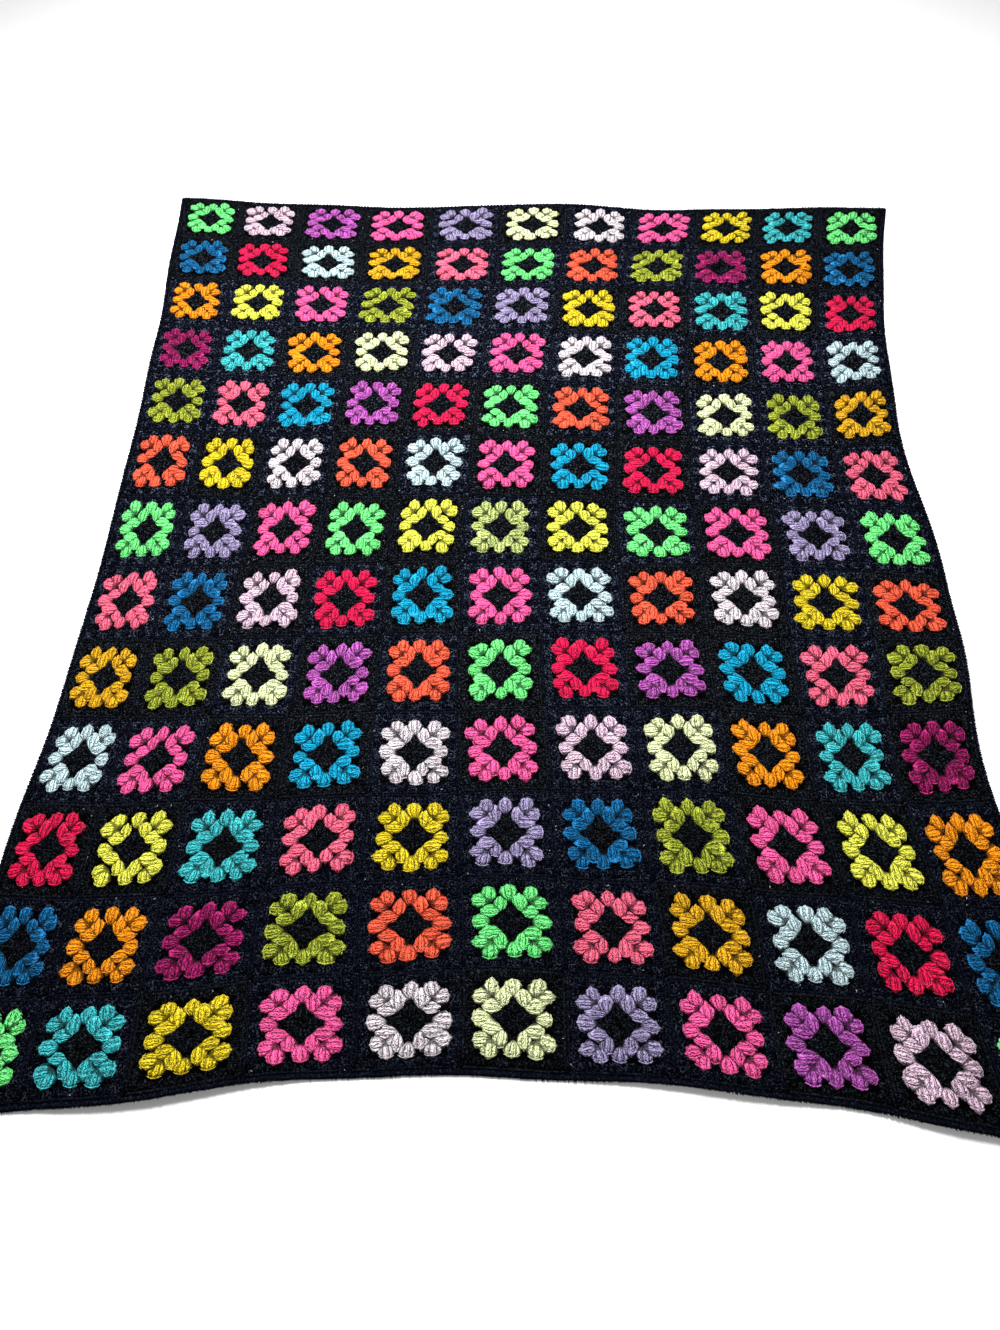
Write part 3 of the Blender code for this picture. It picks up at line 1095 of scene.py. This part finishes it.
@dataclass
class SquareLayout:
    """Places of every square and cluster of the blanket."""

    lay: Lay
    slip: float = 0.0011
    twist: float = math.radians(1.6)
    growth: float = 0.012
    seed: int = 23

    def yarns(self) -> list[list[Yarn]]:
        """The yarn of each square, row by row."""
        upper = [[Yarn[name] for name in line.split()] for line in CHART]
        return upper + [row[::-1] for row in upper[-2::-1]]

    def centres(self) -> dict[tuple[int, int], Matrix]:
        """Where each square sits on the even grid, a little slipped and turned by hand."""
        hand = np.random.default_rng(self.seed)
        centres = {}
        for row, column in np.ndindex(self.lay.rows, self.lay.squares_across):
            slip_x, slip_y, twist, growth = hand.uniform(-1.0, 1.0, 4)
            x = (column + 0.5) * self.lay.square + slip_x * self.slip
            y = -(row + 0.5) * self.lay.square + slip_y * self.slip
            centres[row, column] = (Matrix.Translation((x, y, 0.0))
                                    @ Matrix.Rotation(twist * self.twist, 4, "Z")
                                    @ Matrix.Scale(1.0 + self.growth * growth, 4))
        return centres

    def add_square(self, points: PointSet, centre: Matrix, *rounds: Round) -> None:
        """Add the clusters of the named rounds of one square.

        Args:
            points: Set that takes the clusters.
            centre: Where the square sits on the even grid.
            *rounds: Rounds to add.
        """
        kinds = list(Cluster)
        square_turn = centre.to_euler().z
        for worked in SIDE_PATTERN:
            if worked.round not in rounds:
                continue
            for side in range(4):
                for hand, kind in zip((1, -1), worked.kinds[:2 if worked.beside else 1]):
                    stretch = worked.length * self.lay.square / kind.value.length
                    turn = side * QUARTER_TURN
                    foot = Vector((hand * worked.beside, worked.out, 0.0)) * self.lay.square
                    foot.rotate(Matrix.Rotation(turn, 3, "Z"))
                    place = centre @ foot
                    place.z = 0.0
                    lean = -hand * math.radians(worked.lean)
                    points.add(place, turn + lean + square_turn,
                               (worked.width, stretch, worked.height), kinds.index(kind))


class Settler:
    """Turns flat meshes into finished pieces that lie as the blanket lies."""

    def __init__(self, lay: Lay) -> None:
        """Keep the lay and an empty list of pieces."""
        self.lay = lay
        self.pieces: list[bpy.types.Object] = []
        self.triangles = 0

    def piece(self, name: str, mesh: Mesh, slot: str = "square_yarn") -> bpy.types.Object:
        """Settle a flat mesh on the floor and make it a piece of the blanket.

        Args:
            name: The piece's name.
            mesh: A mesh in flat places.
            slot: The record's material slot; not used.

        Returns:
            The piece, riding on the blanket's body.
        """
        flat = np.empty(len(mesh.vertices) * 3, dtype=np.float32)
        mesh.vertices.foreach_get("co", flat)
        lying = self.lay.settle(flat.reshape(-1, 3).astype(float))
        mesh.vertices.foreach_set("co", lying.astype(np.float32).ravel())
        mesh.update()
        piece = placed(name, mesh)
        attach(piece, BODY)
        self.pieces.append(piece)
        triangles = len(mesh.loops) - 2 * len(mesh.polygons)
        self.triangles += triangles
        log.info("%s: %d triangles", name, triangles)
        return piece


@dataclass
class Squares:
    """All clusters of the blanket: coloured ones by yarn, dark ones by round and yarn."""

    layout: SquareLayout
    scatter: WorkedPoints
    coloured_jitter: Jitter = Jitter(turn=0.14, tilt=0.07, size=0.07)
    dark_jitter: Jitter = Jitter(turn=0.08, tilt=0.03, size=0.05)
    coloured_seed: int = 100
    dark_seed: int = 7

    def build(self) -> None:
        """Make every cluster piece, the coloured ones first."""
        shapes = ShapeBox("cluster_shapes", [kind.value for kind in Cluster])
        coloured: dict[Yarn, PointSet] = {}
        dark = {key: PointSet() for key in (
            ("round_one", Yarn.BLACK), ("round_four", Yarn.BLACK), ("round_four", Yarn.NAVY))}
        yarns = self.layout.yarns()
        for (row, column), centre in self.layout.centres().items():
            points = coloured.setdefault(yarns[row][column], PointSet())
            self.layout.add_square(points, centre, Round.FIRST_COLOUR, Round.SECOND_COLOUR)
            self.layout.add_square(dark["round_one", Yarn.BLACK], centre, Round.CENTRE)
            self.layout.add_square(dark["round_four", border_yarn(row, column)], centre,
                                   Round.BORDER)
        for seed, (yarn, points) in enumerate(coloured.items(), self.coloured_seed):
            self.scatter.work(f"clusters_{yarn.piece_name}", points, shapes,
                              coloured_finish(yarn), self.coloured_jitter, seed)
        for (work, yarn), points in dark.items():
            name = f"{work}_{yarn.piece_name}"
            finish = dark_finish(yarn, f"{name}_yarn", lobes=3, ply_pitch=0.120)
            self.scatter.work(name, points, shapes, finish, self.dark_jitter, self.dark_seed)
        shapes.empty()


# ------------------------------------------------------------------ ground, joins, edging
@dataclass
class GroundCloth:
    """The dark cloth between and under the clusters: chains and the backs of stitches."""

    lay: Lay
    settler: Settler
    steps: int = 8
    underside: float = 0.0014
    thickness: float = 0.0012
    join_dip: float = 0.0004
    edge_inset: float = 0.0006
    middle_reach: float = 0.33
    pit_reach: float = 0.40

    def build(self) -> bpy.types.Object:
        """Make the ground as one thin closed sheet that reaches to the edging."""
        columns = self.lay.squares_across * self.steps + 1
        lines = self.lay.rows * self.steps + 1
        xs = np.linspace(-self.edge_inset, self.lay.width + self.edge_inset, columns)
        ys = -np.linspace(-self.edge_inset, self.lay.length + self.edge_inset, lines)
        at_join = ((np.arange(columns) % self.steps == 0)[None, :]
                   | (np.arange(lines) % self.steps == 0)[:, None])
        low = np.full(at_join.shape, self.underside)
        high = low + self.thickness - at_join * self.join_dip
        points = np.concatenate([np.stack([*np.meshgrid(xs, ys), side], axis=-1).reshape(-1, 3)
                                 for side in (low, high)])
        mesh = bpy.data.meshes.new("ground_cloth")
        mesh.from_pydata(points.tolist(), [], self.faces(columns, lines))
        mesh.shade_smooth()
        corners = np.empty(len(mesh.loops), dtype=np.int32)
        mesh.loops.foreach_get("vertex_index", corners)
        map_corners(mesh, points[corners][:, :2])
        self.mark_faces(mesh)
        mesh.materials.append(GroundFinish("ground_yarn").build())
        return self.settler.piece("ground_cloth", mesh)

    def mark_faces(self, mesh: Mesh) -> None:
        """Mark the faces in black yarn, and the pits between the coloured clusters that get painted
        shade.
        """
        squares = (self.lay.rows, self.lay.squares_across)
        in_black = np.array([border_yarn(*place) is Yarn.BLACK
                             for place in np.ndindex(squares)]).reshape(squares)
        line, column = np.indices([count * self.steps for count in squares])
        aside, apart = (abs((place % self.steps + 0.5) / self.steps - 0.5)
                        for place in (column, line))
        middle = aside + apart < self.middle_reach
        for name, marked in (
                ("black", middle | in_black[line // self.steps, column // self.steps]),
                ("pit", (np.maximum(aside, apart) < self.pit_reach) & ~middle)):
            values = np.zeros(len(mesh.polygons))
            values[:2 * marked.size] = np.repeat(marked, 2)
            mark(mesh, name, values, domain="FACE")

    def faces(self, columns: int, lines: int) -> list[list[int]]:
        """Faces of the underside and the upper side, cell by cell, then of the rim."""
        upper = columns * lines
        grid = np.arange(upper).reshape(lines, columns)
        under = np.stack([grid[:-1, :-1], grid[:-1, 1:], grid[1:, 1:], grid[1:, :-1]],
                         axis=-1).reshape(-1, 4)
        both = np.stack([under, upper + under[:, ::-1]], axis=1).reshape(-1, 4)
        rim = np.concatenate([grid[0], grid[1:, -1], grid[-1, -2::-1], grid[-2:0:-1, 0]])
        after = np.roll(rim, -1)
        wall = np.stack([rim, upper + rim, upper + after, after], axis=1)
        return np.concatenate([both, wall]).tolist()


@dataclass
class Chains:
    """The chain tops of the border rounds, side by side along every join."""

    lay: Lay
    settler: Settler
    aside: float = 0.0021
    half_width: float = 0.0018
    half_height: float = 0.0012
    height: float = 0.0022
    overlap: float = 0.2
    waver: float = 0.00022
    uneven: float = 0.12
    steps: int = 8
    sides: int = 4
    seed: int = 5

    def build(self) -> None:
        """Make the chain round every square, two side by side at each join."""
        hand = np.random.default_rng(self.seed)
        rounds = {Yarn.BLACK: StrandMesh(), Yarn.NAVY: StrandMesh()}
        reach = self.lay.square - 2 * self.aside
        for row, column in np.ndindex(self.lay.rows, self.lay.squares_across):
            left = column * self.lay.square + self.aside
            top = -row * self.lay.square - self.aside
            right, bottom = left + reach, top - reach
            for start, run in (((left, top), (reach, 0.0)), ((right, top), (0.0, -reach)),
                               ((right, bottom), (-reach, 0.0)), ((left, bottom), (0.0, reach))):
                self.add_run(rounds[border_yarn(row, column)], start, run, 1, hand)
        for yarn, strands in rounds.items():
            name = f"chains_{yarn.piece_name}"
            self.settler.piece(name, strands.mesh(name, dark_finish(
                yarn, f"{name}_yarn", plies=2.0, ply_pitch=0.0062, chevron=True)))

    def build_edge(self, material: Material) -> None:
        """Make the strand that the edging's stitches are worked over, all round."""
        lay = self.lay
        hand = np.random.default_rng(self.seed + 1)
        strands = StrandMesh()
        left = -lay.join_gap - lay.edging_left / 2
        right = lay.width + lay.join_gap + lay.edging_right / 2
        top = lay.join_gap + lay.edging_top / 2
        bottom = -lay.length - lay.join_gap - lay.edging_bottom / 2
        across, down = (right - left, 0.0), (0.0, bottom - top)
        for start, run, squares, width in (
                ((left, top), across, lay.squares_across, lay.edging_top),
                ((left, bottom), across, lay.squares_across, lay.edging_bottom),
                ((left, top), down, lay.rows, lay.edging_left),
                ((right, top), down, lay.rows, lay.edging_right)):
            self.add_run(strands, start, run, squares, hand,
                         width / 2 / self.half_width + self.overlap)
        self.settler.piece("edging_chain", strands.mesh("edging_chain", material), "edging_yarn")

    def add_run(self, strands: StrandMesh, start: Flat, run: Flat, squares: int, hand: Hand,
                widened: float = 1.0) -> None:
        """Add one chain from edge to edge, wavering a little."""
        count = squares * self.steps + 1
        share = np.linspace(0.0, 1.0, count)
        waver = hand.normal(0.0, self.waver, (count, 2))
        path = np.stack([start[0] + run[0] * share + waver[:, 0],
                         start[1] + run[1] * share + waver[:, 1],
                         np.full(count, self.height)], axis=1)
        girth = 1.0 + hand.uniform(-self.uneven, self.uneven, count)
        strands.tube(path, self.half_width * widened * girth, self.half_height * girth, self.sides)


@dataclass
class StitchShape:
    """A short slanting stitch of one strand, along X, arched over the cloth."""

    length: float = 0.0058
    slant: float = 0.0030
    half_width: float = 0.0011
    height: float = 0.0026
    arch: float = 0.0011
    sides: int = 3

    def mesh(self, name: str, seed: int) -> Mesh:
        """Make the stitch with its middle over the origin."""
        hand = np.random.default_rng(seed)
        share = THREE_ALONG
        path = np.stack([share * self.slant, share * self.length,
                         self.height + self.arch * (0.25 - share ** 2) * 4], axis=1)
        girth = self.half_width * np.array([0.7, 1.0, 0.7]) * hand.uniform(0.9, 1.1)
        strands = StrandMesh()
        strands.tube(path, girth, girth, self.sides)
        return strands.mesh(name)


@dataclass
class StitchRows:
    """Stitches at even spaces along straight runs: joins and edging."""

    lay: Lay
    scatter: WorkedPoints
    jitter: Jitter = Jitter(turn=0.16, tilt=0.05, size=0.10)
    join_space: float = 0.0082
    edging_space: float = 0.0056
    edging_overlap: float = 0.0024
    edging_slant: float = 0.0034
    join_seed: int = 31
    edging_seed: int = 37

    def run(self, points: PointSet, start: Flat, turn: float, length: float, space: float,
            stretch: float = 1.0, kind: int = 0) -> None:
        """Add points along a straight run.

        Args:
            points: Set that takes them.
            start: Flat place of the run's start.
            turn: Direction of the run, and of the stitches' own X axis.
            length: Length of the run.
            space: Distance between stitches, stretched to fit.
            stretch: Scale of each stitch across the run.
            kind: Which of the worked shapes to use.
        """
        count = max(1, round(length / space))
        for step in range(count):
            along = (step + 0.5) * length / count
            points.add((start[0] + math.cos(turn) * along,
                        start[1] + math.sin(turn) * along, 0.0), turn, (1.0, stretch, 1.0), kind)

    def work(self, name: str, points: PointSet, stitches: Sequence[StitchShape],
             material: Material, slot: str, seed: int) -> None:
        """Work uneven versions of the stitches at the points, as one piece."""
        shapes = ShapeBox(f"{name}_shapes", stitches)
        self.scatter.work(name, points, shapes, material, self.jitter, seed, slot)
        shapes.empty()

    def build_joins(self, material: Material) -> None:
        """Sew the squares together, one slanting stitch after another."""
        points = PointSet()
        square = self.lay.square
        for row in range(1, self.lay.rows):
            self.run(points, (0.0, -row * square), 0.0, self.lay.width, self.join_space)
        for column in range(1, self.lay.squares_across):
            self.run(points, (column * square, 0.0), -QUARTER_TURN, self.lay.length,
                     self.join_space)
        self.work("join_stitches", points,
                  [StitchShape(height=0.0018, arch=0.0009, half_width=0.0008)],
                  material, "square_yarn", self.join_seed)

    def build_edging(self, material: Material) -> None:
        """Work the edging: two slanting strands make each stitch's V."""
        lay = self.lay
        width, length = lay.width, lay.length
        points = PointSet()
        for start, turn, run_length, edging_width in (
                ((0.0, 0.0), 0.0, width, lay.edging_top),
                ((width, -length), math.pi, width, lay.edging_bottom),
                ((0.0, -length), QUARTER_TURN, length, lay.edging_left),
                ((width, 0.0), -QUARTER_TURN, length, lay.edging_right)):
            outward = turn + QUARTER_TURN
            middle = lay.join_gap + edging_width / 2
            origin = (start[0] + math.cos(outward) * middle, start[1] + math.sin(outward) * middle)
            stretch = (edging_width + self.edging_overlap) / StitchShape.length
            for kind in (0, 1):
                self.run(points, origin, turn, run_length, self.edging_space, stretch, kind)
        strands = [StitchShape(height=0.0022, arch=0.0010, half_width=0.0013, slant=slant)
                   for slant in (self.edging_slant, -self.edging_slant)]
        self.work("edging_stitches", points, strands, material, "edging_yarn",
                  self.edging_seed)


@dataclass
class Lint:
    """Short pale fibres that cling to the dark rounds."""

    lay: Lay
    settler: Settler
    count: int = 210
    shortest: float = 0.0009
    longest: float = 0.0030
    half_width: float = 0.00048
    height: float = 0.0054
    inner: float = 0.41
    outer: float = 0.48
    seed: int = 61

    def build(self) -> None:
        """Scatter the fibres over the dark borders and middles."""
        hand = np.random.default_rng(self.seed)
        strands = StrandMesh()
        for _ in range(self.count):
            cell = np.array([hand.integers(self.lay.squares_across), hand.integers(self.lay.rows)])
            aside = hand.uniform(self.inner, self.outer)
            along = hand.uniform(-self.outer, self.outer)
            side = hand.integers(4)
            offset = ((aside, along), (-aside, along), (along, aside), (along, -aside))[side]
            across, down = cell + 0.5 + offset
            self.add_fibre(strands, across * self.lay.square, -down * self.lay.square, hand)
        material = YarnFinish("lint_fibre", linear(226, 220, 230), foot_shade=1.0,
                              groove_shade=0.9, crease_shade=0.9).build()
        self.settler.piece("lint", strands.mesh("lint", material), "edging_yarn")

    def add_fibre(self, strands: StrandMesh, x: float, y: float, hand: Hand) -> None:
        """Add one bent fibre at a flat place."""
        length = hand.uniform(self.shortest, self.longest)
        turn, bend = hand.uniform(0.0, 2 * math.pi), hand.uniform(-0.6, 0.6)
        run = THREE_ALONG * length
        aside = bend * length * (0.25 - THREE_ALONG ** 2)
        path = np.stack([x + run * math.cos(turn) - aside * math.sin(turn),
                         y + run * math.sin(turn) + aside * math.cos(turn),
                         np.full(3, self.height)], axis=1)
        girth = np.full(3, self.half_width) * hand.uniform(0.7, 1.5)
        strands.tube(path, girth, girth, 3)


# ------------------------------------------------------------------ studio
@dataclass
class Studio:
    """Plain pale floor, soft light and the camera."""

    lens: float = 21.1
    depression: float = 64.98
    yaw: float = -2.7
    roll: float = 1.24
    place: Place = (-0.0095, -0.6640, 0.980)
    floor_size: float = 8.0
    floor_height: float = -0.0003
    floor_grey: float = 0.86
    sky: float = 0.30

    def build(self) -> None:
        """Make the floor, lights, world and camera."""
        self.floor()
        self.world()
        self.lamp("key", (-0.25, 0.58, 1.5), size=0.6, power=77.0)
        self.lamp("fill", (1.6, -1.4, 2.6), size=3.0, power=16.0)
        self.camera()

    def floor(self) -> None:
        """Lay the floor just under the blanket."""
        half = self.floor_size / 2
        mesh = bpy.data.meshes.new("floor")
        mesh.from_pydata([(-half, -half, 0), (half, -half, 0), (half, half, 0),
                          (-half, half, 0)], [], [(0, 1, 2, 3)])
        material = bpy.data.materials.new("pale_floor")
        material.use_nodes = True
        shader = material.node_tree.nodes["Principled BSDF"]
        shader.inputs["Base Color"].default_value = (*[self.floor_grey] * 3, 1.0)
        shader.inputs["Roughness"].default_value = 0.9
        mesh.materials.append(material)
        floor = placed("floor", mesh)
        floor.location.z = self.floor_height

    def world(self) -> None:
        """Light the studio evenly from all round."""
        world = bpy.data.worlds.new("studio")
        world.use_nodes = True
        background = world.node_tree.nodes["Background"]
        background.inputs["Color"].default_value = (1.0, 1.0, 1.0, 1.0)
        background.inputs["Strength"].default_value = self.sky
        bpy.context.scene.world = world

    def lamp(self, name: str, place: Place, size: float, power: float) -> None:
        """Add a soft area lamp that faces the blanket."""
        light = bpy.data.lights.new(name, "AREA")
        light.shape, light.size, light.energy = "DISK", size, power
        lamp = placed(name, light)
        lamp.location = place
        lamp.rotation_euler = (-Vector(place)).to_track_quat("-Z", "Y").to_euler()

    def camera(self) -> None:
        """Look down at the blanket from over its near edge."""
        turn = Matrix.Identity(4)
        for angle, axis in ((-self.yaw, "Z"), (90.0 - self.depression, "X"), (-self.roll, "Z")):
            turn = turn @ Matrix.Rotation(math.radians(angle), 4, axis)
        data = bpy.data.cameras.new("camera")
        data.lens = self.lens
        camera = placed("camera", data)
        camera.matrix_world = Matrix.Translation(self.place) @ turn
        bpy.context.scene.camera = camera


def main() -> None:
    """Dress the blanket and set up the studio."""
    logging.basicConfig(level=logging.INFO, format="%(message)s")
    bpy.context.scene.view_settings.view_transform = "Standard"
    lay = Lay()
    settler = Settler(lay)
    scatter = WorkedPoints(settler)
    ground = GroundCloth(lay, settler).build()
    Squares(SquareLayout(lay), scatter).build()
    sewing_yarn = dark_finish(Yarn.BLACK, "sewing_yarn", plies=2.0, ply_pitch=0.004)
    edging_yarn = dark_finish(Yarn.NAVY, "edging_yarn", plies=2.0, ply_pitch=0.004)
    chains = Chains(lay, settler)
    chains.build()
    chains.build_edge(edging_yarn)
    rows = StitchRows(lay, scatter)
    rows.build_joins(sewing_yarn)
    rows.build_edging(edging_yarn)
    Lint(lay, settler).build()
    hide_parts(*frame["nodes"])
    Studio().build()
    log.info("%d triangles", settler.triangles)
    log.info("%d pieces", len(settler.pieces))


if __name__ == "__main__":
    main()
